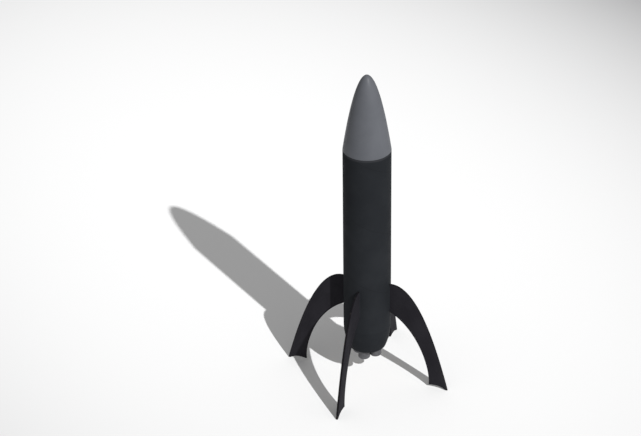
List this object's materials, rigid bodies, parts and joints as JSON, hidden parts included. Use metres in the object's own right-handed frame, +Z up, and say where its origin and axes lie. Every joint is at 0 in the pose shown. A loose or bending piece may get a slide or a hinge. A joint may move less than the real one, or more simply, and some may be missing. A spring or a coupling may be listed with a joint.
{
  "type": "model rocket",
  "caption": "Dark model rocket with a grey parabolic nose cone, arched swept fins it stands on, a boat tail and a cluster of small motors held by screw caps.",
  "frame": {"origin": "on the ground plane under the rocket's long axis, midway between the four fin tips", "axes": "+Z up along the long axis to the nose tip; +X along fin 1, +Y along fin 2, -X along fin 3, -Y along fin 4"},
  "size_m": [0.24, 0.24, 0.477],
  "materials": {
    "body_paint": "satin",
    "tail_plastic": "satin",
    "fin_paint": "satin",
    "nose_plastic": "satin",
    "cap_metal": "satin",
    "collar_metal": "satin",
    "plywood": "matte",
    "kraft_tube": "matte",
    "lug_paper": "satin",
    "motor_paper": "matte",
    "clay": "matte",
    "pressed_powder": "matte",
    "steel": "satin",
    "swivel_brass": "polished",
    "nylon": "satin",
    "flameproof_cloth": "matte"
  },
  "bodies": {
    "airframe": {"body_tube": "body_paint", "tail_cone": "tail_plastic", "forward_ring": "plywood", "middle_ring": "plywood", "aft_ring": "plywood", "anchor_eye_bolt": "steel", "anchor_nut": "steel", "lower_launch_lug": "lug_paper", "upper_launch_lug": "lug_paper", "parachute_pack": "nylon", "chute_protector": "flameproof_cloth", "fin_1": "fin_paint", "motor_tube_1": "kraft_tube", "thrust_ring_1": "kraft_tube", "cap_collar_1": "collar_metal", "fin_2": "fin_paint", "motor_tube_2": "kraft_tube", "thrust_ring_2": "kraft_tube", "cap_collar_2": "collar_metal", "fin_3": "fin_paint", "motor_tube_3": "kraft_tube", "thrust_ring_3": "kraft_tube", "cap_collar_3": "collar_metal", "fin_4": "fin_paint", "motor_tube_4": "kraft_tube", "thrust_ring_4": "kraft_tube", "cap_collar_4": "collar_metal"},
    "nose": {"nose_cone": "nose_plastic", "nose_bulkhead": "plywood", "nose_eye_bolt": "steel", "ballast_washers": "steel", "ballast_nut": "steel", "snap_swivel": "swivel_brass"},
    "motor_1": {"motor_casing_1": "motor_paper", "motor_nozzle_1": "clay", "motor_grain_1": "pressed_powder", "motor_end_cap_1": "clay"},
    "cap_1": {"motor_cap_1": "cap_metal"},
    "motor_2": {"motor_casing_2": "motor_paper", "motor_nozzle_2": "clay", "motor_grain_2": "pressed_powder", "motor_end_cap_2": "clay"},
    "cap_2": {"motor_cap_2": "cap_metal"},
    "motor_3": {"motor_casing_3": "motor_paper", "motor_nozzle_3": "clay", "motor_grain_3": "pressed_powder", "motor_end_cap_3": "clay"},
    "cap_3": {"motor_cap_3": "cap_metal"},
    "motor_4": {"motor_casing_4": "motor_paper", "motor_nozzle_4": "clay", "motor_grain_4": "pressed_powder", "motor_end_cap_4": "clay"},
    "cap_4": {"motor_cap_4": "cap_metal"}
  },
  "joints": [
    {"name": "nose_pull", "type": "slide", "parent": "airframe", "child": "nose", "axis": [0, 0, 1], "range_m": [0, 0.06]},
    {"name": "motor_drop_1", "type": "slide", "parent": "airframe", "child": "motor_1", "axis": [0, 0, -1], "range_m": [0, 0.006]},
    {"name": "cap_turn_1", "type": "hinge", "parent": "motor_1", "child": "cap_1", "pos_m": [0.0122, 0, 0.042], "axis": [0, 0, -1], "range_deg": [0, 1080]},
    {"name": "motor_drop_2", "type": "slide", "parent": "airframe", "child": "motor_2", "axis": [0, 0, -1], "range_m": [0, 0.006]},
    {"name": "cap_turn_2", "type": "hinge", "parent": "motor_2", "child": "cap_2", "pos_m": [0, 0.0122, 0.042], "axis": [0, 0, -1], "range_deg": [0, 1080]},
    {"name": "motor_drop_3", "type": "slide", "parent": "airframe", "child": "motor_3", "axis": [0, 0, -1], "range_m": [0, 0.006]},
    {"name": "cap_turn_3", "type": "hinge", "parent": "motor_3", "child": "cap_3", "pos_m": [-0.0122, 0, 0.042], "axis": [0, 0, -1], "range_deg": [0, 1080]},
    {"name": "motor_drop_4", "type": "slide", "parent": "airframe", "child": "motor_4", "axis": [0, 0, -1], "range_m": [0, 0.006]},
    {"name": "cap_turn_4", "type": "hinge", "parent": "motor_4", "child": "cap_4", "pos_m": [0, -0.0122, 0.042], "axis": [0, 0, -1], "range_deg": [0, 1080]}
  ],
  "couplings": [
    {"joint": "motor_drop_1", "follows": "cap_turn_1", "m_per_rad": 0.00031831},
    {"joint": "motor_drop_2", "follows": "cap_turn_2", "m_per_rad": 0.00031831},
    {"joint": "motor_drop_3", "follows": "cap_turn_3", "m_per_rad": 0.00031831},
    {"joint": "motor_drop_4", "follows": "cap_turn_4", "m_per_rad": 0.00031831}
  ]
}
